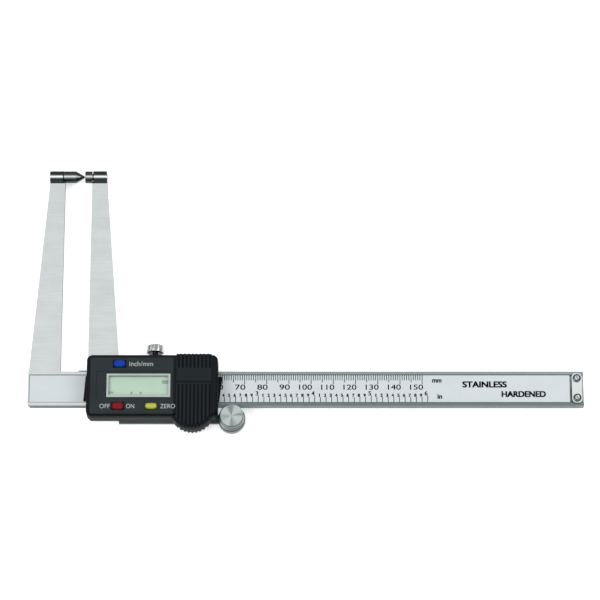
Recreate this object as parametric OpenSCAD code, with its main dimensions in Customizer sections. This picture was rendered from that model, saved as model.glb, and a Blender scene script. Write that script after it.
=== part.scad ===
// Digital caliper with long jaws, for measuring the thickness of a brake disc.
// Lengths are in millimetres. Every module is drawn from the zero of the scale: X runs
// along the beam, Y from the beam's centreline towards the jaw tips, and Z up from the
// beam's front face. on_back() then moves it, so that the origin is the middle of the
// bottom of the bounding box and the back plate lies on Z = 0.

/* [Beam] */
// Left end of the beam, measured from the zero of the scale
beam_left = -27.6; // [-32:0.1:-27]
// Right end of the beam
beam_right = 222.6; // [222:0.1:260]
// Width of the beam
beam_w = 16; // [15.8:0.1:16.1]
// Thickness of the beam and the jaws
beam_t = 4; // [3.8:0.05:4]
// Width of the channel that holds the scale
channel_w = 13.1; // [13:0.05:13.3]
// Depth of the channel
channel_depth = 1.4; // [1.3:0.05:1.6]

/* [Jaws] */
// Height of the measuring axis above the beam's centreline
tip_y = 102.7; // [60:0.1:140]
// Width of each jaw where it leaves the beam
jaw_root_w = 14.2; // [12:0.1:14.4]
// Width of each jaw under its barrel
jaw_tip_w = 6.8; // [6.6:0.1:7.2]
// Gap between the jaws when the tips touch
throat_w = 12.4; // [11:0.1:12.4]
// Diameter of the barrels at the jaw tips
barrel_d = 5.7; // [5:0.1:6]

/* [Slider] */
// Width of the display cover along the beam
cover_w = 58.9; // [58.5:0.1:60]
// Height of the cover above the beam's front face
cover_top = 9; // [9:0.1:10]
// Wall of the plastic covers
wall = 1.2; // [1:0.05:1.3]
// Thickness of the back plate
back_t = 1.96; // [1.8:0.02:2.2]
// Clearance between the slider and the beam
run_gap = 0.04; // [0.02:0.01:0.06]

/* [Display and buttons] */
// Width of the display window
window_w = 28.6; // [26:0.1:28.6]
// Height of the display window
window_h = 11; // [10:0.1:11.2]
// Travel of the buttons
button_travel = 0.4; // [0.2:0.05:0.42]
// How far the buttons stand out of the cover
button_out = 0.8; // [0.6:0.05:1.2]

/* [Battery] */
// Diameter of the coin cell
cell_d = 11.6; // [11:0.1:11.6]
// Thickness of the coin cell
cell_t = 5.4; // [4.8:0.1:5.4]
// Outer radius of the battery lobe
lobe_r = 9.8; // [9.6:0.05:10]
// Pitch of the grip ribs
rib_pitch = 1.74; // [1.6:0.02:1.9]

/* [Lock screw and thumb roller] */
// Diameter of the lock screw's knurled head
lock_head_d = 7.6; // [6:0.1:8]
// Number of flutes round the lock screw's head
lock_flutes = 24; // [16:1:28]
// Largest radius of the thumb roller
roller_r = 6.15; // [6:0.05:6.15]
// Radius of the thumb roller's top disc
roller_top_r = 5.4; // [5:0.1:5.8]

/* [Hidden] */
$fn = 64;
eps = 0.01;
past = 20; // how far a cut runs on beyond the part

beam_back = -beam_t;
mid_z = -beam_t / 2;
rest_z = beam_back - run_gap - back_t;
half_beam = beam_w / 2;
half_channel = channel_w / 2;

board_t = 0.8;
strip_t = 0.35;
strip_top = -channel_depth + board_t + strip_t;
strip_left = beam_left + 0.85;
strip_right = 216.4;
strip_gap = 0.25;

movable_jaw_x = -0.75;
fixed_jaw_x = movable_jaw_x - throat_w;
tip_contact_x = -4;
tip_gap = 0.02;
barrel_r = barrel_d / 2;
barrel_len = 6.25;
shank_r = 1.5;
point_head_len = 5.6;
fixed_barrel_step = 0.85;
movable_barrel_step = 0.4;
fixed_barrel_x = [fixed_jaw_x - fixed_barrel_step - barrel_len, fixed_jaw_x - fixed_barrel_step];
movable_barrel_x = [movable_jaw_x + movable_barrel_step,
    movable_jaw_x + movable_barrel_step + barrel_len];

cover_left = -0.7;
cover_right = cover_left + cover_w;
cover_low = -15;
cover_high = 13.55;
cover_base = -0.2;
cover_corner = 2.6;
inner_corner = 0.3;
bevel_in = 1.25;
bevel_down = 2;
bevel_lap = 0.2;
ceiling = cover_top - wall;

toe_left = -4.9;
toe_w = 0.75;
toe_top = -1;

frame_left = 0.8;
frame_right = 56.9;
frame_low = -13.7;
frame_high = 11.5;
lip_top = 1.2;
gib_y = half_beam + run_gap;
gib_t = 1.25;
gib_left = 14;
gib_right = 51.5;
gib_z = [beam_back + 0.1, -0.1];
slot_top_y = gib_y + gib_t + 0.06;
pocket_x = [gib_left - 0.3, gib_right + 0.3];
reader_window = [4.5, 53];
reader_half = 6.2;
wiper_reach = 4;
wiper_top = 0.55;
left_wiper_outline = [[3.6, -6], [3.6, 5.7], [-1.6, 5.7], [-2.4, -6]];
right_wiper_outline = [[54, -6], [58.7, -6], [60, 5.4], [54, 5.4]];

pcb_low = -13.75;
pcb_high = 11.2;
pcb_bottom = lip_top + 0.05;
pcb_top = 2.2;

lobe_x = 46.6;
lobe_y = -10.8;
lobe_base = -1;
skirt_t = 1.05;
cell_r = cell_d / 2;
cell_bottom = 2.6;
well_gap = 0.15;
well_wall = 1.2;
bay = [39.5, 55.4];
bay_floor = [7.05, 8];
lid_gap = 0.1;
battery_lid_top = 0.1;
port_lid_low = 0.8;
port_lip_y = cover_high - wall * 0.6 + 0.05;
port_lip_low = 5;
port_bevel_cut = 4;
rib_from = 40.3;
rib_count = 9;
rib_groove_w = 0.8;
rib_groove_depth = 0.4;
rib_from_y = 6.9;

window_left = 8.4;
window_low = -6.75;
recess = [3.8, 38.1, -7.55, 5.35];
recess_depth = 0.3;
rim_w = 0.9;
lcd_z = [5.9, 7.5];
lcd_side = 0.6;
zebra_w = 1.6;

unit_at = [14.15, 8.8];
power_at = [13.6, -11];
zero_at = [28.5, -11];
unit_size = [5.8, 3.4];
power_size = [5.6, 3.4];
zero_size = [5.7, 2.9];
button_gap = 0.12;
flange_z = [6.6, 7.7];
flange_out = 0.7;
switch_top = 5;
switch_body = [4, 2.2];
chip_at = [22, -1.6];
chip_r = 3.4;
socket = [42.8, 52.2, 2, 5];
socket_top = 6.9;
socket_pitch = 2.2;
socket_ways = 4;

screw_r = 0.8;
boss_r = 1.5;
boss_at = [[5, -11.4], [55, -11.4], [7, 10.2], [54.5, 10.2]];
plate_screw_at = [[11.5, -11.2], [34, -11.2], [12.5, 10.2], [47.5, 10.2]];
plate_screw_head_r = 1.7;

lock_x = 29.5;
lock_head_y = 17;
lock_head_len = 3.8;
thread_r = 1.25;
pad_r = 1.45;
pad_travel = 0.15;
pad_y = half_beam + pad_travel + 0.05;
pad_len = 1.15;
gib_screw_x = [20, 41];

roller_x = 64.3;
roller_y = -14.2;
roller_bottom = beam_back + 0.4;
roller_top = 5;
axle_r = 1.5;
axle_gap = 0.05;
arm_r = 3.6;
arm_low = -15.1;
ledge_x = 13.5;

stop_x = [217.3, 221.9];
stop_y = 6.9;
stop_t = 0.8;
stop_screw_y = 4.6;
stop_head_r = 1.8;

centre_x = (beam_left + beam_right) / 2;
centre_y = (lobe_y - lobe_r + tip_y + barrel_r) / 2;

steel = [0.80, 0.82, 0.82];
dark_plastic = [0.16, 0.18, 0.19];
black = [0.07, 0.08, 0.08];

module on_back() {
    translate([-centre_x, -centre_y, -rest_z]) children();
}

module block(x, y, z) {
    translate([x[0], y[0], z[0]]) cube([x[1] - x[0], y[1] - y[0], z[1] - z[0]]);
}

module x_rod(x, y, z, r) {
    translate([x[0], y, z]) rotate([0, 90, 0]) cylinder(h = x[1] - x[0], r = r);
}

module y_rod(x, y, z, r) {
    translate([x, y[1], z]) rotate([90, 0, 0]) cylinder(h = y[1] - y[0], r = r);
}

module z_rod(at, z, r) {
    translate([at[0], at[1], z[0]]) cylinder(h = z[1] - z[0], r = r);
}

module prism(z) {
    translate([0, 0, z[0]]) linear_extrude(z[1] - z[0]) children();
}

module rounded(x, y, r) {
    translate([x[0] + r, y[0] + r])
        offset(r = r) square([x[1] - x[0] - 2 * r, y[1] - y[0] - 2 * r]);
}

// The inner edge of a jaw is square to the beam and the outer edge leans towards it.
module jaw_outline(inner_x, side, from_y) {
    polygon([
        [inner_x, from_y],
        [inner_x + side * jaw_root_w, from_y],
        [inner_x + side * jaw_tip_w, tip_y - barrel_r + 0.4],
        [inner_x + side * jaw_tip_w, tip_y],
        [inner_x, tip_y]
    ]);
}

module tip_bore(x) {
    x_rod([x[0] - 1, x[1] + 1], tip_y, mid_z, shank_r + eps);
}

// ---- beam, scale and end stop ----

module beam() {
    color(steel) on_back() difference() {
        union() {
            prism([beam_back, 0]) difference() {
                union() {
                    translate([beam_left, -half_beam]) square([beam_right - beam_left, beam_w]);
                    jaw_outline(fixed_jaw_x, -1, half_beam - 0.5);
                }
                translate([beam_left, -half_beam]) rotate(45) square(1.4, center = true);
            }
            x_rod(fixed_barrel_x, tip_y, mid_z, barrel_r);
        }
        tip_bore(fixed_barrel_x);
        block([fixed_barrel_x[1], fixed_jaw_x + 1], [tip_y - barrel_r, tip_y + past],
            [beam_back - 1, 1]);
        block([strip_left - 0.25, beam_right + 1], [-half_channel, half_channel],
            [-channel_depth, 1]);
        for (side = [-1, 1])
            z_rod([(stop_x[0] + stop_x[1]) / 2, side * stop_screw_y],
                [beam_back + 0.4, 0], screw_r + eps);
    }
}

module scale_bed(z) {
    block([strip_left, strip_right], [-half_channel + strip_gap, half_channel - strip_gap], z);
}

module scale_electrodes() {
    color("darkgreen") on_back() scale_bed([-channel_depth, -channel_depth + board_t]);
}

module scale_strip() {
    color([0.88, 0.89, 0.90]) on_back() scale_bed([strip_top - strip_t, strip_top]);
}

module fixed_point() {
    head_x = fixed_barrel_x[1] + 0.2;
    cone_x = head_x + point_head_len;
    color("dimgray") on_back() {
        x_rod([fixed_barrel_x[0] + 0.5, head_x], tip_y, mid_z, shank_r);
        x_rod([head_x, cone_x], tip_y, mid_z, barrel_r - 0.05);
        translate([cone_x, tip_y, mid_z]) rotate([0, 90, 0])
            cylinder(h = tip_contact_x - tip_gap - cone_x, r1 = barrel_r - 0.05, r2 = 0.1);
    }
}

module end_stop_plate() {
    color(steel) on_back() difference() {
        prism([0, stop_t]) rounded(stop_x, [-stop_y, stop_y], 1.8);
        for (side = [-1, 1])
            z_rod([(stop_x[0] + stop_x[1]) / 2, side * stop_screw_y], [-1, stop_t + 1],
                screw_r + eps);
    }
}

module slotted_screw(head_r, head_h, shank_len) {
    difference() {
        union() {
            translate([0, 0, -shank_len]) cylinder(h = shank_len + eps, r = screw_r);
            cylinder(h = head_h * 0.5, r = head_r);
            translate([0, 0, head_h * 0.5])
                cylinder(h = head_h * 0.5, r1 = head_r, r2 = head_r * 0.55);
        }
        translate([-0.2, -head_r, head_h * 0.6]) cube([0.4, head_r * 2, head_h]);
    }
}

module end_stop_screws() {
    color("silver") on_back() for (side = [-1, 1])
        translate([(stop_x[0] + stop_x[1]) / 2, side * stop_screw_y, stop_t])
            rotate(25) slotted_screw(stop_head_r, 1.1, stop_t - beam_back - 0.6);
}

// ---- steel slider with the movable jaw ----

module slider_frame() {
    color(steel) on_back() difference() {
        union() {
            block([frame_left, frame_right], [frame_low, frame_high],
                [beam_back - run_gap, lip_top]);
            prism([beam_back, 0]) jaw_outline(movable_jaw_x, 1, half_beam + run_gap);
            block([toe_left, movable_jaw_x + 1], [half_beam + run_gap, half_beam + toe_w],
                [beam_back, toe_top]);
            x_rod(movable_barrel_x, tip_y, mid_z, barrel_r);
        }
        block([frame_left - 5, frame_right + 1], [-half_beam - run_gap, half_beam + run_gap],
            [beam_back - 1, run_gap]);
        block(pocket_x, [0, slot_top_y], [beam_back - 1, run_gap]);
        block(reader_window, [-reader_half, reader_half], [-1, lip_top + 1]);
        block([frame_left - 1, wiper_reach], [-reader_half, reader_half], [-1, wiper_top + 0.05]);
        block([frame_right - wiper_reach, frame_right + 1], [-reader_half, reader_half],
            [-1, wiper_top + 0.05]);
        tip_bore(movable_barrel_x);
        block([movable_jaw_x - 1, movable_barrel_x[0]], [tip_y - barrel_r, tip_y + past],
            [beam_back - 1, 1]);
        y_rod(lock_x, [slot_top_y - 1, frame_high + 1], mid_z, thread_r + axle_gap);
        for (x = gib_screw_x) y_rod(x, [slot_top_y - 1, frame_high + 1], mid_z, 1 + eps);
        for (at = boss_at) {
            z_rod(at, [beam_back - 1, lip_top + 1], screw_r + 0.15);
            z_rod(at, [beam_back - 1, beam_back + 1.1], boss_r);
        }
        for (at = plate_screw_at) z_rod(at, [beam_back - 1, beam_back + 2.2], screw_r + eps);
    }
}

module movable_anvil() {
    color("dimgray") on_back() {
        x_rod([movable_jaw_x, movable_barrel_x[1] - 0.5], tip_y, mid_z, shank_r);
        x_rod([tip_contact_x, movable_jaw_x], tip_y, mid_z, barrel_r - 0.05);
    }
}

module gib_strip() {
    color("goldenrod") on_back() difference() {
        block([gib_left, gib_right], [gib_y, gib_y + gib_t], gib_z);
        y_rod(lock_x, [gib_y - 1, gib_y + gib_t + 1], mid_z, pad_r + 0.1);
    }
}

module gib_screws() {
    color("gray") on_back() for (x = gib_screw_x) difference() {
        y_rod(x, [gib_y + gib_t + 0.01, frame_high - 0.1], mid_z, 1);
        block([x - 0.6, x + 0.6], [frame_high - 0.6, frame_high], [mid_z - 0.15, mid_z + 0.15]);
    }
}

module left_wiper() {
    color(black) on_back() prism([strip_top + 0.05, wiper_top])
        polygon(left_wiper_outline);
}

module right_wiper() {
    color(black) on_back() prism([strip_top + 0.05, wiper_top])
        polygon(right_wiper_outline);
}

module back_plate() {
    color(black) on_back() difference() {
        prism([rest_z, rest_z + back_t]) {
            rounded([0, frame_right + 0.6], [frame_low + 0.1, frame_high + 0.6], 1.2);
            translate([ledge_x, arm_low]) square([roller_x - ledge_x, roller_y - arm_low + 3]);
            translate([roller_x, roller_y]) circle(arm_r);
        }
        z_rod([roller_x, roller_y], [rest_z - 1, 0], axle_r + eps);
        for (at = plate_screw_at) {
            z_rod(at, [rest_z - 1, 0], screw_r + 0.1);
            translate([at[0], at[1], rest_z - eps])
                cylinder(h = 1.1, r1 = plate_screw_head_r, r2 = screw_r + 0.1);
        }
    }
}

module back_plate_screws() {
    color("silver") on_back() for (at = plate_screw_at) difference() {
        union() {
            z_rod(at, [rest_z + 0.1, beam_back + 2], screw_r);
            translate([at[0], at[1], rest_z + 0.05])
                cylinder(h = 0.9, r1 = plate_screw_head_r - 0.12, r2 = screw_r);
        }
        for (turn = [0, 90])
            translate([at[0], at[1], rest_z]) rotate(turn + 30)
                translate([-1, -0.2, -eps]) cube([2, 0.4, 0.5]);
    }
}

module roller_axle() {
    color("silver") on_back() z_rod([roller_x, roller_y], [rest_z + 0.05, roller_top - 1.7], axle_r);
}

module roller_washer() {
    color("gray") on_back() difference() {
        z_rod([roller_x, roller_y], [beam_back, roller_bottom - 0.05], 2.6);
        z_rod([roller_x, roller_y], [rest_z, roller_top], axle_r + eps);
    }
}

// ---- electronics ----

module reader_plate() {
    color("darkgoldenrod") on_back()
        block([reader_window[0] + 0.4, reader_window[1] - 0.4],
            [-reader_half + 0.2, reader_half - 0.2], [strip_top + 0.5, lip_top]);
}

module circuit_board() {
    color("darkgreen") on_back() difference() {
        block([frame_left + 0.2, frame_right - 0.4], [pcb_low, pcb_high], [pcb_bottom, pcb_top]);
        for (at = boss_at) z_rod(at, [0, 4], boss_r + 0.3);
    }
}

module chip_blob() {
    color(black) on_back() translate([chip_at[0], chip_at[1], pcb_top]) {
        cylinder(h = 0.6, r = chip_r);
        translate([0, 0, 0.6]) cylinder(h = 0.5, r1 = chip_r, r2 = chip_r * 0.65);
    }
}

module button_switches() {
    color("silver") on_back() for (at = [unit_at, power_at, zero_at]) {
        block([at[0] - switch_body[0] / 2, at[0] + switch_body[0] / 2],
            [at[1] - switch_body[1] / 2 + 0.3, at[1] + switch_body[1] / 2],
            [pcb_top, switch_top - 0.4]);
        z_rod(at, [switch_top - 0.5, switch_top], 0.8);
    }
}

module negative_contact() {
    color("gold") on_back() difference() {
        z_rod([lobe_x, lobe_y + 2], [pcb_top, cell_bottom - 0.05], 2.6);
        z_rod([lobe_x, lobe_y + 2], [pcb_top - 1, cell_bottom + 1], 1.5);
    }
}

module positive_contact() {
    color("gold") on_back() {
        block([lobe_x - 2.5, lobe_x + 2.5], [lobe_y + cell_r + well_gap + well_wall + 0.1,
            lobe_y + cell_r + well_gap + well_wall + 0.4], [pcb_top, 6.6]);
        block([lobe_x - 2.5, lobe_x + 2.5], [lobe_y + cell_r + well_gap + well_wall + 0.1,
            lobe_y + cell_r + well_gap + well_wall + 1.6], [pcb_top, pcb_top + 0.3]);
    }
}

module coin_cell() {
    color("silver") on_back() {
        z_rod([lobe_x, lobe_y], [cell_bottom + 0.3, cell_bottom + cell_t], cell_r);
        z_rod([lobe_x, lobe_y], [cell_bottom, cell_bottom + 0.4], cell_r - 1.2);
    }
}

module data_port_socket() {
    color(black) on_back() difference() {
        block([socket[0], socket[1]], [socket[2], socket[3]], [pcb_top, socket_top]);
        for (i = [0:socket_ways - 1])
            block([socket[0] + 0.9 + i * socket_pitch, socket[0] + 2.1 + i * socket_pitch],
                [socket[2] + 0.6, socket[3] - 0.6], [socket_top - 1.7, past]);
    }
}

module zebra_strips() {
    color("pink") on_back() for (y = [window_low - 0.2, window_low + window_h - zebra_w + 0.2])
        block([window_left - 0.3, window_left + window_w + 0.3], [y, y + zebra_w],
            [pcb_top, lcd_z[0]]);
}

module lcd_glass() {
    color([0.70, 0.82, 0.74]) on_back()
        block([window_left - lcd_side, window_left + window_w + lcd_side],
            [window_low - lcd_side, window_low + window_h + lcd_side], lcd_z);
}

// ---- plastic covers ----

module cover_outline(shrink) {
    rounded([cover_left + shrink, cover_right - shrink], [cover_low + shrink, cover_high - shrink],
        cover_corner - shrink * 0.6);
}

module cover_shell() {
    difference() {
        union() {
            prism([cover_base, cover_top - bevel_down]) cover_outline(0);
            hull() {
                prism([cover_top - bevel_down - bevel_lap, cover_top - bevel_down])
                    cover_outline(0);
                prism([cover_top - bevel_down * 0.3 - bevel_lap, cover_top - bevel_down * 0.3])
                    cover_outline(bevel_in * 0.36);
                prism([cover_top - bevel_lap, cover_top]) cover_outline(bevel_in);
            }
        }
        prism([cover_base - 1, ceiling])
            rounded([cover_left + wall, cover_right - wall], [cover_low + wall, cover_high - wall],
                inner_corner);
    }
}

module front_cover() {
    color(dark_plastic) on_back() difference() {
        union() {
            cover_shell();
            intersection() {
                prism([pcb_top + 0.05, ceiling]) cover_outline(wall / 2);
                union() for (at = boss_at) z_rod(at, [pcb_top + 0.05, ceiling + eps], boss_r);
            }
            block([bay[0] - wall, bay[1] + wall], [cover_low + wall, cover_high - wall],
                [bay_floor[0], bay_floor[1]]);
            z_rod([lobe_x, lobe_y], [pcb_top + 0.05, bay_floor[1]], cell_r + well_gap + well_wall);
            difference() {
                z_rod([lobe_x, lobe_y], [lobe_base + 0.3, bay_floor[1]], lobe_r - skirt_t - 0.1);
                block([lobe_x - past, lobe_x + past], [cover_low + wall, past], [-past, past]);
            }
        }
        // coin cell well
        z_rod([lobe_x, lobe_y], [pcb_top, past], cell_r + well_gap);
        // bays for the battery cover and the port cover
        block(bay, [cover_low - 1, battery_lid_top + lid_gap], [bay_floor[1], past]);
        block(bay, [port_lid_low - lid_gap, cover_high + 1], [bay_floor[1], past]);
        block(bay, [port_lip_y - 0.05, cover_high + 1], [port_lip_low - lid_gap, past]);
        block([socket[0] - 0.4, socket[1] + 0.4], [socket[2] - 0.4, socket[3] + 0.4],
            [socket_top - 2, past]);
        // display recess and window
        block([recess[0], recess[1]], [recess[2], recess[3]], [cover_top - recess_depth, past]);
        block([window_left, window_left + window_w], [window_low, window_low + window_h], [0, past]);
        button_hole(unit_at, unit_size);
        button_hole(power_at, power_size);
        button_hole(zero_at, zero_size);
        // passages for the beam, the movable jaw and the lock screw
        block([cover_left - 1, cover_right + 1], [-8.4, 8.4], [cover_base - 1, 0.4]);
        block([cover_left - 1, cover_right + 1], [-6.4, 6.4], [cover_base - 1, 0.8]);
        block([cover_left - 1, movable_jaw_x + jaw_root_w + 0.35], [half_beam - 0.1, cover_high + 1],
            [cover_base - 1, 0.3]);
        for (at = boss_at) z_rod(at, [0, 6.6], screw_r - 0.02);
    }
}

module button_hole(at, size) {
    block([at[0] - size[0] / 2 - button_gap, at[0] + size[0] / 2 + button_gap],
        [at[1] - size[1] / 2 - button_gap, at[1] + size[1] / 2 + button_gap], [0, past]);
}

module cover_screws() {
    color("silver") on_back() for (at = boss_at) difference() {
        union() {
            z_rod(at, [beam_back + 0.1, 6], screw_r - 0.04);
            z_rod(at, [beam_back + 0.1, beam_back + 1], boss_r - 0.1);
        }
        translate([at[0] - 1, at[1] - 0.2, beam_back]) cube([2, 0.4, 0.5]);
    }
}

module display_frame() {
    x = [window_left + 0.05, window_left + window_w - 0.05];
    y = [window_low + 0.05, window_low + window_h - 0.05];
    color([0.72, 0.76, 0.75]) on_back() difference() {
        block(x, y, [lcd_z[1] + 0.05, cover_top - recess_depth + 0.15]);
        block([x[0] + rim_w, x[1] - rim_w], [y[0] + rim_w, y[1] - rim_w], [0, past]);
    }
}

module display_window() {
    inset = rim_w + 0.1;
    color([0.85, 0.92, 0.88, 0.35]) on_back()
        block([window_left + inset, window_left + window_w - inset],
            [window_low + inset, window_low + window_h - inset],
            [lcd_z[1] + 0.1, lcd_z[1] + 0.5]);
}

// The lid keeps the cover's bevel along the outside of the lobe.
module lobe_disc(shrink) {
    translate([lobe_x, lobe_y]) circle(lobe_r - shrink);
}

module battery_lid_body() {
    difference() {
        union() {
            block([bay[0] + lid_gap, bay[1] - lid_gap], [cover_low, battery_lid_top],
                [bay_floor[1] + 0.05, cover_top]);
            difference() {
                union() {
                    prism([lobe_base, cover_top - bevel_down]) lobe_disc(0);
                    translate([lobe_x, lobe_y, cover_top - bevel_down - eps])
                        cylinder(h = bevel_down + eps, r1 = lobe_r, r2 = lobe_r - bevel_in);
                }
                block([lobe_x - past, lobe_x + past], [cover_low - 0.05, past],
                    [-past, bay_floor[1] + 0.05]);
                block([lobe_x - past, lobe_x + past], [cover_low + 0.5, past], [-past, past]);
                for (x = [[lobe_x - past, bay[0] + lid_gap], [bay[1] - lid_gap, lobe_x + past]])
                    block(x, [cover_low - 0.05, past], [-past, past]);
            }
        }
        prism([lobe_base - 1, bay_floor[1] + 0.05]) lobe_disc(skirt_t);
    }
}

module battery_cover() {
    color(dark_plastic) on_back() difference() {
        battery_lid_body();
        for (i = [0:rib_count - 1]) {
            x = rib_from + i * rib_pitch;
            block([x, x + rib_groove_w], [lobe_y - past, battery_lid_top - 0.8],
                [cover_top - rib_groove_depth, past]);
        }
        difference() {
            for (i = [0:rib_count - 1]) {
                x = rib_from + i * rib_pitch;
                block([x, x + rib_groove_w], [lobe_y - past, cover_low - 0.6],
                    [lobe_base - 1, past]);
            }
            prism([lobe_base - 2, past + 1]) lobe_disc(rib_groove_depth);
        }
    }
}

module port_cover() {
    color(dark_plastic) on_back() difference() {
        union() {
            block([bay[0] + lid_gap, bay[1] - lid_gap], [port_lid_low, cover_high],
                [bay_floor[1] + 0.05, cover_top]);
            block([bay[0] + lid_gap, bay[1] - lid_gap], [port_lip_y, cover_high + 0.3],
                [port_lip_low, cover_top - 0.5]);
        }
        for (i = [0:rib_count - 1]) {
            x = rib_from + i * rib_pitch;
            block([x, x + rib_groove_w], [rib_from_y, past], [cover_top - rib_groove_depth, past]);
            block([x, x + rib_groove_w], [cover_high + 0.05, past], [0, past]);
        }
        // the cover's bevel carried across the lip
        translate([bay[0] - 1, cover_high - 0.6, cover_top]) rotate([-40, 0, 0])
            cube([past, port_bevel_cut, port_bevel_cut]);
    }
}

// ---- buttons, lock screw and roller ----

module button(at, size) {
    top = cover_top + button_out;
    on_back() {
        hull() {
            block([at[0] - size[0] / 2, at[0] + size[0] / 2],
                [at[1] - size[1] / 2, at[1] + size[1] / 2],
                [flange_z[1] - 0.2, top - 0.5]);
            block([at[0] - size[0] / 2 + 0.6, at[0] + size[0] / 2 - 0.6],
                [at[1] - size[1] / 2 + 0.5, at[1] + size[1] / 2 - 0.5],
                [top - 0.6, top]);
        }
        block([at[0] - size[0] / 2 - flange_out, at[0] + size[0] / 2 + flange_out],
            [at[1] - size[1] / 2, at[1] + size[1] / 2], flange_z);
        z_rod(at, [switch_top + button_travel + 0.05, flange_z[0] + 0.1], 1);
    }
}

module unit_button() {
    color("royalblue") button(unit_at, unit_size);
}

module power_button() {
    color("firebrick") button(power_at, power_size);
}

module zero_button() {
    color("gold") button(zero_at, zero_size);
}

module lock_pad() {
    color("goldenrod") on_back() y_rod(lock_x, [pad_y, pad_y + pad_len], mid_z, pad_r);
}

module lock_screw() {
    head = [lock_head_y, lock_head_y + lock_head_len];
    color("silver") on_back() difference() {
        union() {
            y_rod(lock_x, [pad_y + pad_len + 0.02, head[0] + 0.5], mid_z, thread_r);
            y_rod(lock_x, [head[0] + 0.4, head[1] - 0.4], mid_z, lock_head_d / 2);
            translate([lock_x, head[0], mid_z]) rotate([-90, 0, 0]) {
                cylinder(h = 0.4 + eps, r1 = lock_head_d / 2 - 0.7, r2 = lock_head_d / 2);
                translate([0, 0, lock_head_len - 0.4 - eps])
                    cylinder(h = 0.4 + eps, r1 = lock_head_d / 2, r2 = lock_head_d / 2 - 0.5);
            }
        }
        for (i = [0:lock_flutes - 1])
            translate([lock_x, head[0] - 1, mid_z]) rotate([0, i * 360 / lock_flutes, 0])
                translate([lock_head_d / 2 + 0.1, 0, 0]) rotate([-90, 0, 0])
                    cylinder(h = lock_head_len + 2, r = 0.3, $fn = 4);
    }
}

module thumb_roller() {
    waist_r = roller_top_r - 0.5;
    foot_top = 0.3;
    waist_top = 1.6;
    color("silver") on_back() translate([roller_x, roller_y, 0]) difference() {
        rotate_extrude() polygon([
            [0, roller_bottom],
            [roller_r - 0.4, roller_bottom],
            [roller_r, roller_bottom + 0.4],
            [roller_r, foot_top - 0.4],
            [roller_r - 0.4, foot_top],
            [waist_r, foot_top + 0.2],
            [waist_r, waist_top],
            [roller_top_r, waist_top + 0.5],
            [roller_top_r, roller_top - 0.45],
            [roller_top_r - 0.45, roller_top],
            [0, roller_top]
        ]);
        translate([0, 0, roller_bottom - 1])
            cylinder(h = roller_top - 1.5 - roller_bottom + 1, r = axle_r + axle_gap);
    }
}

beam();
scale_electrodes();
scale_strip();
fixed_point();
end_stop_plate();
end_stop_screws();
slider_frame();
movable_anvil();
gib_strip();
gib_screws();
left_wiper();
right_wiper();
back_plate();
back_plate_screws();
roller_axle();
roller_washer();
reader_plate();
circuit_board();
chip_blob();
button_switches();
negative_contact();
positive_contact();
coin_cell();
data_port_socket();
zebra_strips();
lcd_glass();
front_cover();
cover_screws();
display_frame();
display_window();
thumb_roller();
lock_pad();
lock_screw();
unit_button();
power_button();
zero_button();
battery_cover();
port_cover();
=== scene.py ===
"""Looks of the digital caliper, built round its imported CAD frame. All lengths here are metres."""
import math

import bmesh
import bpy
from mathutils import Matrix, Vector


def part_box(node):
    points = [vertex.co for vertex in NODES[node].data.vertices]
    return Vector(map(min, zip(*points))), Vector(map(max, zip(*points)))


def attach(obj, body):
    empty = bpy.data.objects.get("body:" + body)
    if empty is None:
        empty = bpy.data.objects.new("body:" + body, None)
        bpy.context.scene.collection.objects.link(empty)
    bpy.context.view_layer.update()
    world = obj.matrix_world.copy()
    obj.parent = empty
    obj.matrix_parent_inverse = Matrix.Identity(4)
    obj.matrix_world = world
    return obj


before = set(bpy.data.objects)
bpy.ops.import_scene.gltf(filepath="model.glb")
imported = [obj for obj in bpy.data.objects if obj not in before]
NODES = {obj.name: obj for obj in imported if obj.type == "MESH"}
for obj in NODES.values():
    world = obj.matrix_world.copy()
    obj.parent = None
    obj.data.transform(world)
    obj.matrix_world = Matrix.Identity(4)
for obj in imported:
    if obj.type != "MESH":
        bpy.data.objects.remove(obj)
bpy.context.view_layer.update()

MM = 0.001

# ---- places, all worked out from the frame ----

strip_low, strip_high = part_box("scale_strip")
cover_low, cover_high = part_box("front_cover")
lid_low, lid_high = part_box("battery_cover")
port_low, port_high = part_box("port_cover")
lcd_low, lcd_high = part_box("lcd_glass")
roller_low, roller_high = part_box("thumb_roller")
SCALE_ZERO = strip_low.x + 26.75 * MM
BEAM_Y = (strip_low.y + strip_high.y) / 2
BEAM_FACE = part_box("end_stop_plate")[0].z


def at(x, y, z=0.0):
    """A point given in millimetres from the scale's zero, the beam's centreline and its front face."""
    return Vector((SCALE_ZERO + x * MM, BEAM_Y + y * MM, BEAM_FACE + z * MM))


TIP_Y = (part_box("fixed_point")[0].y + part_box("fixed_point")[1].y) / 2
BARREL_R = 2.85 * MM
LOCK_HEAD_LENGTH = 3.8 * MM
BUTTON_HALF_X = 2.7 * MM
FIXED_JOINT_X = at(-14.0, 0).x
MOVABLE_JOINT_X = at(-0.35, 0).x
PRINT_T = 0.02 * MM


# Painted reflection colours for the polished barrels and tips: dark, mid grey and a painted highlight.
PAINTED_REFLECTION_DARK = (0.035, 0.045, 0.045)
PAINTED_REFLECTION_MIDDLE = (0.20, 0.22, 0.22)
PAINTED_REFLECTION_BRIGHT = (0.80, 0.82, 0.82)

# ---- node helpers ----


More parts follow.
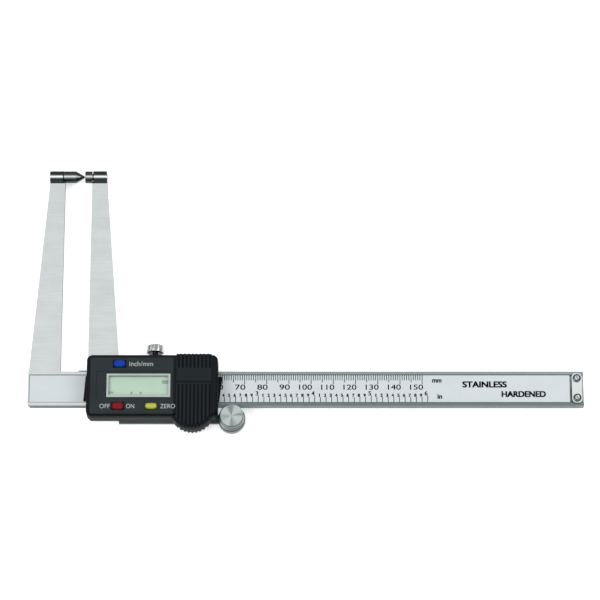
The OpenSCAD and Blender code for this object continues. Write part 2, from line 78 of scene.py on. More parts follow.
class Graph:
    """A short way to write a node material."""

    def __init__(self, name):
        self.material = bpy.data.materials.new(name)
        self.material.use_nodes = True
        self.tree = self.material.node_tree
        self.shader = self.tree.nodes["Principled BSDF"]
        places = self.tree.nodes.new("ShaderNodeTexCoord")
        self.coords, self.facing = places.outputs["Object"], places.outputs["Normal"]

    def link(self, source, target):
        self.tree.links.new(source, target)

    def node(self, kind, **sockets):
        made = self.tree.nodes.new(kind)
        for key, value in sockets.items():
            self.put(made.inputs[key.replace("_", " ")], value)
        return made

    def put(self, socket, value):
        if isinstance(value, bpy.types.NodeSocket):
            self.link(value, socket)
        else:
            socket.default_value = value

    def set(self, **values):
        for key, value in values.items():
            self.put(self.shader.inputs[key.replace("_", " ")], value)
        return self

    def mapping(self, scale):
        made = self.node("ShaderNodeMapping", Vector=self.coords)
        made.inputs["Scale"].default_value = scale
        return made.outputs["Vector"]

    def noise(self, vector, scale, detail=4.0, roughness=0.6):
        made = self.node("ShaderNodeTexNoise", Vector=vector, Scale=scale, Detail=detail)
        made.inputs["Roughness"].default_value = roughness
        return made.outputs["Fac"]

    def ramp(self, value, stops):
        made = self.node("ShaderNodeValToRGB", Fac=value)
        points = made.color_ramp.elements
        while len(points) < len(stops):
            points.new(1.0)
        for point, (place, colour) in zip(points, stops):
            point.position = place
            point.color = (*colour, 1) if len(colour) == 3 else colour
        return made.outputs["Color"]

    def span(self, value, low, high, to_low, to_high):
        made = self.tree.nodes.new("ShaderNodeMapRange")
        for key, number in (("Value", value), ("From Min", low), ("From Max", high),
                            ("To Min", to_low), ("To Max", to_high)):
            self.put(made.inputs[key], number)
        return made.outputs["Result"]

    def mix(self, factor, a, b, blend="MIX"):
        made = self.tree.nodes.new("ShaderNodeMix")
        made.data_type, made.blend_type = "RGBA", blend
        self.put(made.inputs["Factor"], factor)
        self.put(made.inputs[6], (*a, 1) if isinstance(a, tuple) else a)
        self.put(made.inputs[7], (*b, 1) if isinstance(b, tuple) else b)
        return made.outputs[2]

    def maths(self, kind, a, b=0.0):
        made = self.tree.nodes.new("ShaderNodeMath")
        made.operation = kind
        self.put(made.inputs[0], a)
        self.put(made.inputs[1], b)
        return made.outputs[0]

    def xyz(self, vector=None):
        made = self.node("ShaderNodeSeparateXYZ", Vector=vector or self.coords)
        return made.outputs

    def side(self):
        """0 on faces that look up or down, and 1 on upright ones."""
        up = self.maths("ABSOLUTE", self.xyz(self.facing)[2])
        return self.span(up, 0.3, 0.8, 1.0, 0.0)

    def chrome(self, across):
        """Painted reflection: dark, with one painted bright highlight stripe and a faint grey band
        near one edge; across runs from -1 to 1 over the barrel.
        """
        return self.ramp(self.span(across, -1.0, 1.0, 0.0, 1.0), [
            (0.00, PAINTED_REFLECTION_DARK), (0.20, PAINTED_REFLECTION_DARK), (0.28, PAINTED_REFLECTION_MIDDLE), (0.35, PAINTED_REFLECTION_BRIGHT),
            (0.41, PAINTED_REFLECTION_BRIGHT), (0.47, PAINTED_REFLECTION_MIDDLE), (0.55, PAINTED_REFLECTION_DARK),
            (0.86, PAINTED_REFLECTION_DARK), (0.93, PAINTED_REFLECTION_MIDDLE), (1.00, PAINTED_REFLECTION_DARK)])

    def barrel(self, base, end_x):
        """The jaw's own colour below the barrel, and the painted reflection on it, with a dark joint
        at its end.
        """
        x, y, _ = self.xyz()
        across = self.maths("DIVIDE", self.maths("SUBTRACT", y, TIP_Y), BARREL_R)
        from_joint = self.maths("ABSOLUTE", self.maths("SUBTRACT", x, end_x))
        joint = self.span(from_joint, 0.15 * MM, 0.4 * MM, 1.0, 0.0)
        chrome = self.mix(joint, self.chrome(across), (0.006, 0.007, 0.007))
        return self.mix(self.span(across, -1.36, -1.30, 0.0, 1.0), base, chrome)

    def bump(self, height, distance):
        made = self.node("ShaderNodeBump", Height=height, Distance=distance, Strength=1.0)
        self.link(made.outputs["Normal"], self.shader.inputs["Normal"])
        return self




def tone(colour, factor):
    return tuple(channel * factor for channel in colour)


# ---- materials ----


def brushed_steel(name, colour, roughness=0.34, strokes=(60, 2800, 2800), depth=0.006):
    g = Graph(name)
    lines = g.noise(g.mapping(strokes), 1.0, 6.0, 0.7)
    clouds = g.noise(g.mapping((70, 150, 150)), 1.0, 4.0)
    shade = g.mix(g.span(clouds, 0.3, 0.7, 0.0, 1.0), tone(colour, 0.90), tone(colour, 1.04))
    shade = g.mix(g.span(lines, 0.3, 0.7, 0.0, 0.7), shade, tone(colour, 0.78))
    # Painted shade: upright faces are darkened to a tenth of the steel colour.
    shade = g.mix(g.side(), shade, tone(colour, 0.10))
    g.set(Base_Color=shade, Metallic=1.0)
    g.set(Roughness=g.span(lines, 0.25, 0.75, roughness - 0.06, roughness + 0.08))
    return g.bump(lines, depth * MM)


TURNING_PITCH = 60000.0
STEEL = (0.69, 0.735, 0.73)
BRASS = (0.70, 0.50, 0.20)


def beam_steel():
    """The rails past the head are given a darker tone than the jaw; painted shade darkens the bottom
    one further and makes upright faces near black.
    """
    g = brushed_steel("beam_steel", STEEL)
    x, y, _ = g.xyz()
    past_head = g.span(x, at(2, 0).x, at(40, 0).x, 0.0, 1.0)
    below_jaw = g.span(y, at(0, 8.0).y, at(0, 8.6).y, 1.0, 0.0)
    darker_rail_mask = g.maths("MULTIPLY", past_head, below_jaw)
    bright = g.shader.inputs["Base Color"].links[0].from_socket
    # Painted shade: the beam's face darkens below its centreline, and upright faces are near black.
    lower_rail_painted_shade_mask = g.span(y, BEAM_Y, BEAM_Y + 2 * MM, 1.0, 0.0)
    rail_with_painted_shade = g.mix(lower_rail_painted_shade_mask, (0.275, 0.32, 0.325), (0.155, 0.195, 0.195))
    rail_with_painted_shade = g.mix(g.side(), rail_with_painted_shade, (0.10, 0.13, 0.13))
    shade = g.mix(darker_rail_mask, bright, rail_with_painted_shade)
    g.set(Base_Color=g.barrel(shade, FIXED_JOINT_X))
    return g.material


def slider_steel():
    g = brushed_steel("slider_steel", STEEL)
    bright = g.shader.inputs["Base Color"].links[0].from_socket
    # Painted shade: a near-black patch where the slider meets the beam's top edge.
    toe_painted_shade = inside(g, at(-9, 0).x, at(-0.8, 0).x, at(0, 7).y, at(0, 9).y, 0.1 * MM)
    shade = g.mix(toe_painted_shade, bright, (0.06, 0.07, 0.07))
    g.set(Base_Color=g.barrel(shade, MOVABLE_JOINT_X))
    return g.material


def tip_steel(name):
    g = Graph(name)
    rings = g.noise(g.mapping((9000, 60, 60)), 1.0, 4.0)
    # Painted reflection set by the surface's facing: dark, with a painted highlight stripe.
    shade = g.chrome(g.xyz(g.facing)[1])
    g.set(Base_Color=g.mix(g.span(rings, 0.3, 0.7, 0.0, 0.25), shade, (0.2, 0.22, 0.22)))
    g.set(Metallic=1.0, Roughness=g.span(rings, 0.3, 0.7, 0.12, 0.2))
    return g.bump(rings, 0.002 * MM).material


def screw_steel():
    """A domed head: bright on the crown, with painted shade round the edge and in the slot."""
    g = Graph("stop_screw_steel")
    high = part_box("end_stop_screws")[1]
    z = g.xyz()[2]
    smears = g.noise(g.mapping((900, 900, 900)), 1.0, 3.0)
    crown = g.mix(g.span(smears, 0.35, 0.65, 0.0, 1.0), (0.45, 0.50, 0.50), (0.78, 0.80, 0.80))
    painted_edge_shade_mask = g.span(g.xyz(g.facing)[2], 0.80, 0.97, 0.0, 1.0)
    painted_slot_shade_mask = g.span(z, high.z - 0.5 * MM, high.z - 0.35 * MM, 0.0, 1.0)
    # Painted shade: the tilted edge and the slot go near black.
    g.set(Base_Color=g.mix(g.maths("MULTIPLY", painted_edge_shade_mask, painted_slot_shade_mask), (0.045, 0.06, 0.06), crown))
    g.set(Metallic=1.0, Roughness=g.span(smears, 0.3, 0.7, 0.18, 0.3))
    return g.bump(smears, 0.002 * MM).material


def knurled_steel():
    """The lock screw: a bright head with painted shade on its underside, on a thread painted near
    black as shade.
    """
    g = Graph("knurled_steel")
    y = g.xyz()[1]
    ny = g.xyz(g.facing)[1]
    smears = g.noise(g.mapping((900, 300, 900)), 1.0, 3.0)
    head = g.mix(g.span(smears, 0.35, 0.65, 0.0, 1.0), (0.16, 0.18, 0.18), (0.70, 0.72, 0.72))
    dark = (0.02, 0.022, 0.022)
    # Painted shade: faces turned towards -y go dark.
    head = g.mix(g.span(ny, -0.5, -0.9, 0.0, 1.0), head, dark)
    head_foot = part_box("lock_screw")[1].y - LOCK_HEAD_LENGTH
    on_head = g.span(y, head_foot - 0.2 * MM, head_foot + 0.1 * MM, 0.0, 1.0)
    # Painted shade: the thread below the head is painted near black.
    g.set(Base_Color=g.mix(on_head, dark, head))
    g.set(Metallic=1.0, Roughness=g.span(smears, 0.3, 0.7, 0.2, 0.32))
    return g.bump(smears, 0.002 * MM).material


def polished_steel(name, colour, roughness=0.2, turned=False):
    g = Graph(name)
    rings = g.noise(g.mapping((60, 60, 9000) if turned else (700, 700, 700)), 1.0, 4.0)
    smears = g.noise(g.mapping((150, 150, 150)), 1.0, 3.0)
    g.set(Base_Color=g.mix(smears, tone(colour, 0.9), tone(colour, 1.08)), Metallic=1.0)
    g.set(Roughness=g.span(rings, 0.3, 0.7, roughness - 0.04, roughness + 0.06))
    return g.bump(rings, 0.002 * MM).material


def turned_face():
    """The roller's faced disc: fine turning rings, with a painted reflection of bright and dark
    sectors round the axis, and painted shade on upright faces and the foot.
    """
    g = Graph("turned_face")
    centre = (roller_low + roller_high) / 2
    x, y, z = g.xyz()
    dx = g.maths("SUBTRACT", x, centre.x)
    dy = g.maths("SUBTRACT", y, centre.y)
    angle = g.maths("ARCTAN2", dy, dx)
    squares = g.maths("ADD", g.maths("MULTIPLY", dx, dx), g.maths("MULTIPLY", dy, dy))
    radius = g.maths("SQRT", squares)
    turn = g.span(angle, -math.pi, math.pi, 0.0, 1.0)
    light, dark = (0.50, 0.56, 0.55), (0.24, 0.29, 0.28)
    middle = (0.35, 0.41, 0.40)
    # Painted reflection: bright and dark sectors by angle round the axis.
    painted_fan_reflection = g.ramp(turn, [
        (0.00, middle), (0.06, middle), (0.10, light), (0.20, light), (0.25, dark),
        (0.30, middle), (0.38, light), (0.48, light), (0.52, dark), (0.58, light),
        (0.68, light), (0.74, dark), (0.80, dark), (0.86, light), (0.94, light), (1.00, middle)])
    rings = g.maths("SINE", g.maths("MULTIPLY", radius, TURNING_PITCH))
    top = g.span(z, roller_high.z - 0.5 * MM, roller_high.z - 0.2 * MM, 0.0, 1.0)
    # Painted shade: upright faces go dark, and the foot below the top disc darker still.
    rim_with_painted_shade = g.mix(g.side(), (0.66, 0.69, 0.68), (0.07, 0.09, 0.09))
    foot = g.span(z, roller_high.z - 3.0 * MM, roller_high.z - 2.8 * MM, 1.0, 0.0)
    rim_with_painted_shade = g.mix(foot, rim_with_painted_shade, g.mix(g.side(), (0.24, 0.27, 0.27), (0.05, 0.06, 0.06)))
    g.set(Base_Color=g.mix(top, rim_with_painted_shade, painted_fan_reflection), Metallic=g.span(g.side(), 0.0, 1.0, 1.0, 0.45))
    g.set(Roughness=g.span(rings, -1.0, 1.0, 0.20, 0.30))
    return g.bump(rings, 0.001 * MM).material


def scale_foil():
    g = Graph("scale_foil")
    grain = g.noise(g.mapping((2500, 2500, 2500)), 1.0, 3.0)
    clouds = g.noise(g.mapping((60, 200, 60)), 1.0, 3.0)
    g.set(Base_Color=g.mix(clouds, (0.55, 0.60, 0.62), (0.62, 0.67, 0.70)), Metallic=0.35)
    g.set(Roughness=g.span(grain, 0.3, 0.7, 0.36, 0.5))
    return g.bump(grain, 0.002 * MM).material


def moulded(name, colour, roughness=0.5, specular=0.25, grain=0.004):
    g = Graph(name)
    texture = g.noise(g.mapping((6000, 6000, 6000)), 1.0, 3.0)
    patches = g.noise(g.mapping((120, 120, 120)), 1.0, 3.0)
    g.set(Base_Color=g.mix(patches, tone(colour, 0.85), tone(colour, 1.15)))
    g.set(Roughness=g.span(texture, 0.3, 0.7, roughness - 0.06, roughness + 0.08))
    g.shader.inputs["Specular IOR Level"].default_value = specular
    return g.bump(texture, grain * MM)


CHARCOAL = (0.027, 0.034, 0.036)
RIB_BLACK = (0.016, 0.020, 0.023)
EDGE_BLACK = (0.001, 0.0012, 0.0015)
SKIRT_PAINTED_FLOOR_REFLECTION = (0.030, 0.041, 0.040)


def inside(g, x0, x1, y0, y1, edge):
    """1 within a rectangle of the plan, with an edge of the given softness."""
    x, y, _ = g.xyz()
    across = g.maths("MINIMUM", g.maths("SUBTRACT", x, x0), g.maths("SUBTRACT", x1, x))
    along = g.maths("MINIMUM", g.maths("SUBTRACT", y, y0), g.maths("SUBTRACT", y1, y))
    return g.span(g.maths("MINIMUM", across, along), 0.0, edge, 0.0, 1.0)


def cover_plastic(name, colour, top):
    """Charcoal on the face, black on the bevel, and a lighter skirt below it that is a painted
    reflection of the pale floor.
    """
    g = moulded(name, colour, 0.5, 0.025)
    z = g.xyz()[2]
    face = g.shader.inputs["Base Color"].links[0].from_socket
    is_lid = name != "cover_plastic"
    sunk = (0.35 if is_lid else 0.6) * MM
    on_face = g.span(z, top - sunk, top - sunk + 0.2 * MM, 0.0, 1.0)
    # Painted reflection: the skirt below the bevel is lightened to stand in for the pale floor it
    # mirrors.
    on_skirt = g.span(z, top - 5.5 * MM, top - 3.5 * MM, 1.0, 0.0)
    sides_with_painted_reflection = g.mix(on_skirt, tone(RIB_BLACK, 0.4) if is_lid else EDGE_BLACK, SKIRT_PAINTED_FLOOR_REFLECTION)
    panel = inside(g, cover_low.x + 1.7 * MM, lid_low.x + 0.6 * MM,
                   cover_low.y + 1.6 * MM, cover_high.y - 1.7 * MM, 0.25 * MM)
    if is_lid:
        panel = on_face
    face = g.mix(panel, tone(RIB_BLACK, 0.6), face)
    g.set(Base_Color=g.mix(on_face, sides_with_painted_reflection, face))
    return g.material


def rim_plastic():
    g = moulded("frame_grey", (0.40, 0.45, 0.43), 0.4, 0.4)
    pale = g.shader.inputs["Base Color"].links[0].from_socket
    # Painted shade: upright faces of the frame, such as the window's inner walls, are near black.
    g.set(Base_Color=g.mix(g.side(), pale, (0.03, 0.04, 0.035)))
    return g.material


def button_plastic(name, colour, node_name, painted_highlight=0.0):
    """The colour is full on the button's crown and sinks into painted shade round its foot; a painted
    highlight stripe can cross its middle.
    """
    g = moulded(name, colour, 0.4, 0.06, 0.002)
    low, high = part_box(node_name)
    middle = (low + high) / 2
    half_y = (high.y - low.y) / 2
    x, y, _ = g.xyz()
    dx = g.maths("DIVIDE", g.maths("SUBTRACT", x, middle.x), BUTTON_HALF_X)
    dy = g.maths("DIVIDE", g.maths("SUBTRACT", y, middle.y), half_y)
    away = g.maths("ADD", g.maths("POWER", g.maths("ABSOLUTE", dx), 3.0),
                   g.maths("POWER", g.maths("ABSOLUTE", dy), 3.0))
    crown = g.shader.inputs["Base Color"].links[0].from_socket
    # Painted highlight: a pale stripe across the middle of the button.
    painted_highlight = g.span(g.maths("ABSOLUTE", dy), 0.0, 0.35, painted_highlight, 0.0)
    painted_highlit = g.mix(painted_highlight, crown, (0.75, 0.78, 0.75))
    # Painted shade round the foot.
    g.set(Base_Color=g.mix(g.span(away, 0.42, 1.1, 0.0, 1.0), painted_highlit, tone(colour, 0.12)))
    return g.material


def lcd_cell():
    g = Graph("lcd_cell")
    y = g.xyz()[1]
    grain = g.noise(g.mapping((3000, 3000, 3000)), 1.0, 2.0)
    down = g.span(y, lcd_low.y, lcd_high.y, 0.0, 1.0)
    colour = g.ramp(down, [
        (0.0, (0.325, 0.52, 0.375)), (0.6, (0.305, 0.50, 0.36)), (1.0, (0.335, 0.50, 0.385))])
    g.set(Base_Color=g.mix(g.span(grain, 0.3, 0.7, 0.0, 0.08), colour, (0.38, 0.56, 0.43)))
    g.set(Roughness=g.span(grain, 0.3, 0.7, 0.25, 0.35))
    return g.material


def clear_plastic():
    g = Graph("clear_plastic")
    film = g.noise(g.mapping((500, 500, 500)), 1.0, 3.0)
    g.set(Base_Color=g.mix(film, (0.93, 0.97, 0.94), (0.98, 1.0, 0.98)))
    g.set(Roughness=g.span(film, 0.3, 0.7, 0.03, 0.08))
    g.shader.inputs["Alpha"].default_value = 0.12
    g.shader.inputs["IOR"].default_value = 1.45
    g.shader.inputs["Specular IOR Level"].default_value = 0.2
    g.material.surface_render_method = "BLENDED"
    return g.material


def circuit_green():
    g = Graph("circuit_green")
    tracks = g.tree.nodes.new("ShaderNodeTexBrick")
    g.link(g.mapping((900, 900, 900)), tracks.inputs["Vector"])
    tracks.inputs["Color1"].default_value = (0.02, 0.16, 0.07, 1)
    tracks.inputs["Color2"].default_value = (0.015, 0.12, 0.05, 1)
    tracks.inputs["Mortar"].default_value = (0.30, 0.24, 0.08, 1)
    g.set(Base_Color=tracks.outputs["Color"])
    g.set(Roughness=g.span(g.noise(g.mapping((2000, 2000, 2000)), 1.0), 0.3, 0.7, 0.35, 0.5))
    return g.bump(tracks.outputs["Fac"], 0.02 * MM).material


def felt():
    g = Graph("felt")
    fibres = g.noise(g.mapping((4000, 9000, 9000)), 1.0, 6.0, 0.8)
    g.set(Base_Color=g.mix(fibres, (0.003, 0.003, 0.003), (0.02, 0.02, 0.02)))
    g.set(Roughness=g.span(fibres, 0.2, 0.8, 0.85, 1.0))
    g.shader.inputs["Specular IOR Level"].default_value = 0.1
    return g.bump(fibres, 0.08 * MM).material


def ink(name, colour):
    g = Graph(name)
    scuffs = g.noise(g.mapping((5000, 5000, 5000)), 1.0, 3.0)
    g.set(Base_Color=g.mix(scuffs, tone(colour, 0.75), tone(colour, 1.2)))
    g.set(Roughness=g.span(scuffs, 0.3, 0.7, 0.5, 0.7))
    g.shader.inputs["Specular IOR Level"].default_value = 0.2
    return g.material


FINISHES = {
    "beam": beam_steel(),
    "slider_frame": slider_steel(),
    "scale_strip": scale_foil(),
    "fixed_point": tip_steel("point_steel"),
    "movable_anvil": tip_steel("anvil_steel"),
    "end_stop_plate": brushed_steel("stop_steel", (0.74, 0.78, 0.78), 0.3).material,
    "end_stop_screws": screw_steel(),
    "gib_strip": brushed_steel("gib_brass", BRASS).material,
    "gib_screws": polished_steel("gib_screw_steel", (0.30, 0.31, 0.32), 0.25),
    "back_plate": moulded("back_plate_paint", (0.088, 0.108, 0.108), 0.45, 0.2).material,
    "back_plate_screws": polished_steel("plate_screw_steel", (0.50, 0.52, 0.52), 0.2),
    "roller_axle": polished_steel("axle_steel", (0.50, 0.52, 0.52), 0.2, True),
    "roller_washer": polished_steel("washer_steel", (0.45, 0.46, 0.46), 0.25),
    "left_wiper": felt(),
    "right_wiper": felt(),
    "circuit_board": circuit_green(),
    "reader_plate": circuit_green(),
    "scale_electrodes": circuit_green(),
    "chip_blob": moulded("epoxy", (0.008, 0.008, 0.009), 0.25, 0.5).material,
    "button_switches": polished_steel("switch_tin", (0.50, 0.50, 0.48), 0.3),
    "negative_contact": polished_steel("contact_gold", (0.80, 0.62, 0.28), 0.22),
    "positive_contact": polished_steel("contact_gold_side", (0.80, 0.62, 0.28), 0.22),
    "coin_cell": polished_steel("cell_can", (0.58, 0.58, 0.56), 0.2),
    "data_port_socket": moulded("socket_black", (0.010, 0.010, 0.011), 0.45).material,
    "zebra_strips": moulded("silicone", (0.42, 0.22, 0.25), 0.6).material,
    "lcd_glass": lcd_cell(),
    "display_window": clear_plastic(),
    "display_frame": rim_plastic(),
    "front_cover": cover_plastic("cover_plastic", CHARCOAL, cover_high.z),
    "battery_cover": cover_plastic("battery_cover_plastic", RIB_BLACK, lid_high.z),
    "port_cover": cover_plastic("port_cover_plastic", RIB_BLACK, port_high.z),
    "cover_screws": polished_steel("cover_screw_steel", (0.50, 0.50, 0.50), 0.25),
    "thumb_roller": turned_face(),
    "lock_pad": brushed_steel("pad_brass", BRASS).material,
    "lock_screw": knurled_steel(),
    "unit_button": button_plastic("button_blue", (0.008, 0.045, 0.32), "unit_button"),
    "power_button": button_plastic("button_red", (0.19, 0.010, 0.018), "power_button"),
    "zero_button": button_plastic("button_yellow", (0.38, 0.42, 0.045), "zero_button", 0.2),
}
for node_name, finish_material in FINISHES.items():
    slots = NODES[node_name].data.materials
    slots.clear()
    slots.append(finish_material)


# ---- softened edges on the frame's own pieces ----

SOFT_EDGES = {
    "beam": 0.12, "slider_frame": 0.12, "front_cover": 0.15, "battery_cover": 0.08,
    "port_cover": 0.08, "end_stop_plate": 0.08, "back_plate": 0.15, "unit_button": 0.18,
    "power_button": 0.18, "zero_button": 0.18, "display_frame": 0.06, "thumb_roller": 0.08,
    "fixed_point": 0.06, "movable_anvil": 0.15, "end_stop_screws": 0.06,
}
for node_name, width in SOFT_EDGES.items():
    soft = NODES[node_name].modifiers.new("soft_edges", "BEVEL")
    soft.width, soft.segments = width * MM, 3
    soft.limit_method, soft.angle_limit = "ANGLE", math.radians(32)
    soft.harden_normals = False

# ---- printed marks, as thin films of ink ----

CAPITAL_HEIGHT = 0.69


class Print:
    """Collects flat marks into one thin mesh on a surface."""

    def __init__(self, surface_z):
        self.mesh = bmesh.new()
        self.z = surface_z

    def bar(self, x0, x1, y0, y1):
        size = (x1 - x0, y1 - y0, PRINT_T)
        place = Matrix.Translation(((x0 + x1) / 2, (y0 + y1) / 2, self.z + PRINT_T / 2))
        bmesh.ops.create_cube(self.mesh, size=1.0, matrix=place @ Matrix.Diagonal((*size, 1)))

    def words(self, text, x, y, height, width=None, align="LEFT", bold=0.0):
        """Text whose capitals are height tall, with its foot at y, squeezed or stretched to width.

        Bold text is printed four times, each copy shifted a little from its place.
        """
        curve = bpy.data.curves.new("letters", "FONT")
        curve.body = text
        curve.size = 1.0
        letters = bpy.data.objects.new("letters", curve)
        bpy.context.scene.collection.objects.link(letters)
        bpy.context.view_layer.update()
        mesh = bpy.data.meshes.new_from_object(letters.evaluated_get(
            bpy.context.evaluated_depsgraph_get()))
        bpy.data.objects.remove(letters)
        low = min(v.co.x for v in mesh.vertices), min(v.co.y for v in mesh.vertices)
        high = max(v.co.x for v in mesh.vertices), max(v.co.y for v in mesh.vertices)
        up = height / CAPITAL_HEIGHT
        across = width / (high[0] - low[0]) if width else up
        shift = {"LEFT": low[0], "RIGHT": high[0], "CENTER": (low[0] + high[0]) / 2}[align]
        place = Matrix.Translation((x, y, self.z + PRINT_T)) @ Matrix.Diagonal((across, up, 1, 1))
        mesh.transform(place @ Matrix.Translation((-shift, 0, 0)))
        part = bmesh.new()
        part.from_mesh(mesh)
        grown = bmesh.ops.extrude_face_region(part, geom=part.faces[:])
        moved = [e for e in grown["geom"] if isinstance(e, bmesh.types.BMVert)]
        bmesh.ops.translate(part, vec=(0, 0, -PRINT_T), verts=moved)
        bmesh.ops.recalc_face_normals(part, faces=part.faces[:])
        part.to_mesh(mesh)
        part.free()
        shifts = [(dx, dy) for dx in (-1, 1) for dy in (-0.6, 0.6)] if bold else [(0, 0)]
        for dx, dy in shifts:
            copy = mesh.copy()
            copy.transform(Matrix.Translation((dx * bold, dy * bold, 0)))
            self.mesh.from_mesh(copy)
            bpy.data.meshes.remove(copy)
        bpy.data.meshes.remove(mesh)

    def outline(self, points):
        top = [self.mesh.verts.new((x, y, self.z + PRINT_T)) for x, y in points]
        face = self.mesh.faces.new(top)
        grown = bmesh.ops.extrude_face_region(self.mesh, geom=[face])
        moved = [e for e in grown["geom"] if isinstance(e, bmesh.types.BMVert)]
        bmesh.ops.translate(self.mesh, vec=(0, 0, -PRINT_T), verts=moved)

    def done(self, name, material, body):
        bmesh.ops.recalc_face_normals(self.mesh, faces=self.mesh.faces[:])
        data = bpy.data.meshes.new(name)
        self.mesh.to_mesh(data)
        self.mesh.free()
        piece = bpy.data.objects.new(name, data)
        bpy.context.scene.collection.objects.link(piece)
        data.materials.append(material)
        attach(piece, body)
        return piece


INCH = 25.4 * MM
SCALE_MM, SCALE_TENTHS = 150, 60
SCALE_INK = ink("scale_ink", (0.035, 0.045, 0.055))
LABEL_INK = ink("label_ink", (0.42, 0.45, 0.45))
ARROW_BLACK = ink("arrow_black", (0.002, 0.002, 0.0025))
LCD_INK = ink("lcd_ink", (0.11, 0.18, 0.14))


def scale_marks():
    ticks = Print(strip_high.z)
    numbers = Print(strip_high.z)
    top, foot = strip_high.y, strip_low.y
    half = 0.18 * MM
    for i in range(SCALE_MM + 1):
        length = (4.2 if i % 10 == 0 else 3.3 if i % 5 == 0 else 2.4) * MM
        x = SCALE_ZERO + i * MM
        ticks.bar(x - half, x + half, top - length, top)
        if i % 10 == 0:
            text = str(i)
            width = (4.6 if len(text) == 2 else 5.8) * MM
            numbers.words(text, x + 0.35 * MM, at(0, -0.45).y, 2.35 * MM,
                          width if len(text) > 1 else None, "RIGHT", 0.05 * MM)
    for i in range(SCALE_TENTHS + 1):
        x = SCALE_ZERO + i * INCH / 10
        whole = i % 10 == 0
        length = (3.1 if whole else 2.4) * MM
        ticks.bar(x - half, x + half, foot, foot + length)
        if i == 0:
            continue
        text = str(i // 10 if whole else i % 10)
        if whole:
            numbers.words(text, x - 0.1 * MM, foot + 3.1 * MM, 2.0 * MM, None, "RIGHT", 0.08 * MM)
        else:
            numbers.words(text, x - 0.45 * MM, foot + 2.5 * MM, 1.4 * MM,
                          (0.3 if text == "1" else 0.9) * MM, "CENTER", 0.12 * MM)
    for text, x, y, height, width, bold in (
            ("mm", 154.6, 2.9, 2.2, 4.0, 0.12), ("in", 156.9, -4.7, 2.2, 1.9, 0.14),
            ("STAINLESS", 168.3, 0.65, 2.7, 19.6, 0.2), ("HARDENED", 185.8, -3.85, 2.6, 19.6, 0.2)):
        place = at(x, y)
        numbers.words(text, place.x, place.y, height * MM, width * MM, "LEFT", bold * MM)
    ticks.done("scale_ticks", SCALE_INK, "beam_body")
    numbers.done("scale_numbers", SCALE_INK, "beam_body")


def cover_labels():
    face = Print(cover_high.z)
    for text, x, y, height, width in (
            ("inch/mm", 18.5, 7.75, 2.2, 10.6), ("OFF", 5.5, -12.0, 2.0, 4.6),
            ("ON", 17.4, -12.0, 2.0, 3.6), ("ZERO", 32.6, -12.0, 2.0, 6.6)):
        place = at(x, y)
        face.words(text, place.x, place.y, height * MM, width * MM)
    face.done("cover_labels", LABEL_INK, "slider")


def grip_arrow(name, x, y, reach, top, body):
    """A shallow arrow on a lid, that points the way it slides off."""
    mark = Print(top)
    points = [at(x - 1.6, y), at(x, y + reach), at(x + 1.6, y), at(x, y + reach * 0.45)]
    mark.outline([(point.x, point.y) for point in points])
    mark.done(name, ARROW_BLACK, body)


def lcd_marks():
    cell = Print(lcd_high.z)
    cell.words("mm", at(34.6, 0).x, at(0, -0.1).y, 2.3 * MM, 2.6 * MM, "CENTER", 0.08 * MM)
    cell.words("in", at(10.5, 0).x, at(0, -4.7).y, 1.4 * MM, 1.5 * MM, "CENTER", 0.08 * MM)
    for x in (19.6, 23.7):
        cell.bar(at(x - 0.45, 0).x, at(x + 0.45, 0).x, at(0, -5.0).y, at(0, -3.9).y)
    cell.done("lcd_marks", LCD_INK, "slider")


scale_marks()
cover_labels()
grip_arrow("battery_arrow", 47.1, -4.6, -1.9, lid_high.z, "battery_cover_body")
grip_arrow("port_arrow", 47.1, 8.6, 1.9, port_high.z, "port_cover_body")
lcd_marks()

# ---- floor, light and camera ----


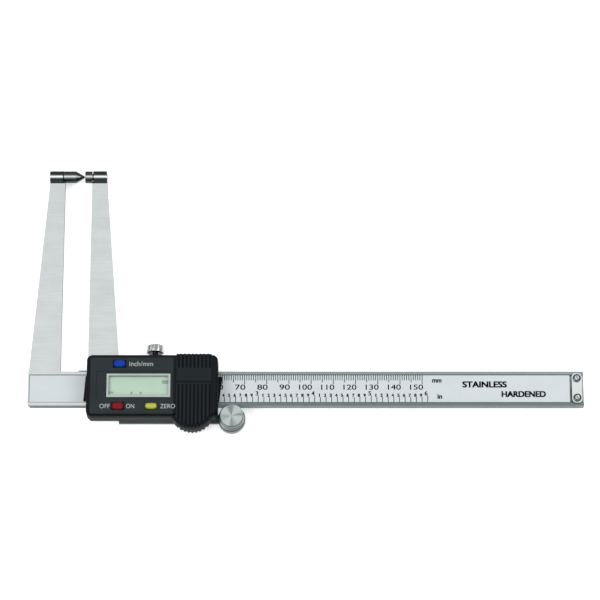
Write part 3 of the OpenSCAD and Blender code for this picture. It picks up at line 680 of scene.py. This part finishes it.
def studio():
    bpy.ops.mesh.primitive_plane_add(size=8.0, location=(0, 0, -0.02 * MM))
    floor = bpy.context.object
    floor.name = "floor"
    g = Graph("floor_paper")
    fibre = g.noise(g.mapping((300, 300, 300)), 1.0, 4.0)
    g.set(Base_Color=g.mix(fibre, (0.90, 0.90, 0.90), (0.92, 0.92, 0.92)))
    g.set(Roughness=g.span(fibre, 0.3, 0.7, 0.85, 0.95))
    g.set(Emission_Color=g.mix(fibre, (0.97, 0.97, 0.97), (1, 1, 1)))
    g.shader.inputs["Emission Strength"].default_value = 0.5
    floor.data.materials.append(g.material)

    world = bpy.data.worlds.new("studio")
    bpy.context.scene.world = world
    world.use_nodes = True
    nodes, links = world.node_tree.nodes, world.node_tree.links
    place = nodes.new("ShaderNodeTexCoord")
    split = nodes.new("ShaderNodeSeparateXYZ")
    ramp = nodes.new("ShaderNodeValToRGB")
    links.new(place.outputs["Generated"], split.inputs[0])
    links.new(split.outputs["Z"], ramp.inputs["Fac"])
    stops = [(0.0, 0.10), (0.30, 0.14), (0.62, 0.85), (1.0, 1.0)]
    points = ramp.color_ramp.elements
    while len(points) < len(stops):
        points.new(1.0)
    for point, (place_at, level) in zip(points, stops):
        point.position = place_at
        point.color = (level, level, level, 1)
    background = nodes["Background"]
    background.inputs["Strength"].default_value = 1.0
    links.new(ramp.outputs["Color"], background.inputs["Color"])


def softbox(name, place, look_at, width, height, power):
    data = bpy.data.lights.new(name, "AREA")
    data.shape, data.size, data.size_y = "RECTANGLE", width, height
    data.energy = power
    lamp = bpy.data.objects.new(name, data)
    bpy.context.scene.collection.objects.link(lamp)
    lamp.location = place
    lamp.rotation_mode = "QUATERNION"
    lamp.rotation_quaternion = (Vector(look_at) - Vector(place)).to_track_quat("-Z", "Y")


def camera():
    data = bpy.data.cameras.new("camera")
    data.sensor_width = 36.0
    data.lens = 180.96
    seen = bpy.data.objects.new("camera", data)
    bpy.context.scene.collection.objects.link(seen)
    target = at(94.97, 42.1, 0)
    elevation, distance = math.radians(71.07), 1.371
    back = Vector((0, -math.cos(elevation), math.sin(elevation)))
    seen.location = target + back * distance
    seen.rotation_mode = "QUATERNION"
    seen.rotation_quaternion = (-back).to_track_quat("-Z", "Y")
    bpy.context.scene.camera = seen


studio()
softbox("key", (-0.9, -0.5, 1.3), (0, 0, 0), 0.7, 0.7, 9.0)
softbox("fill", (1.0, 0.4, 1.2), (0, 0, 0), 0.8, 0.8, 6.0)
camera()
bpy.context.scene.view_settings.view_transform = "Standard"
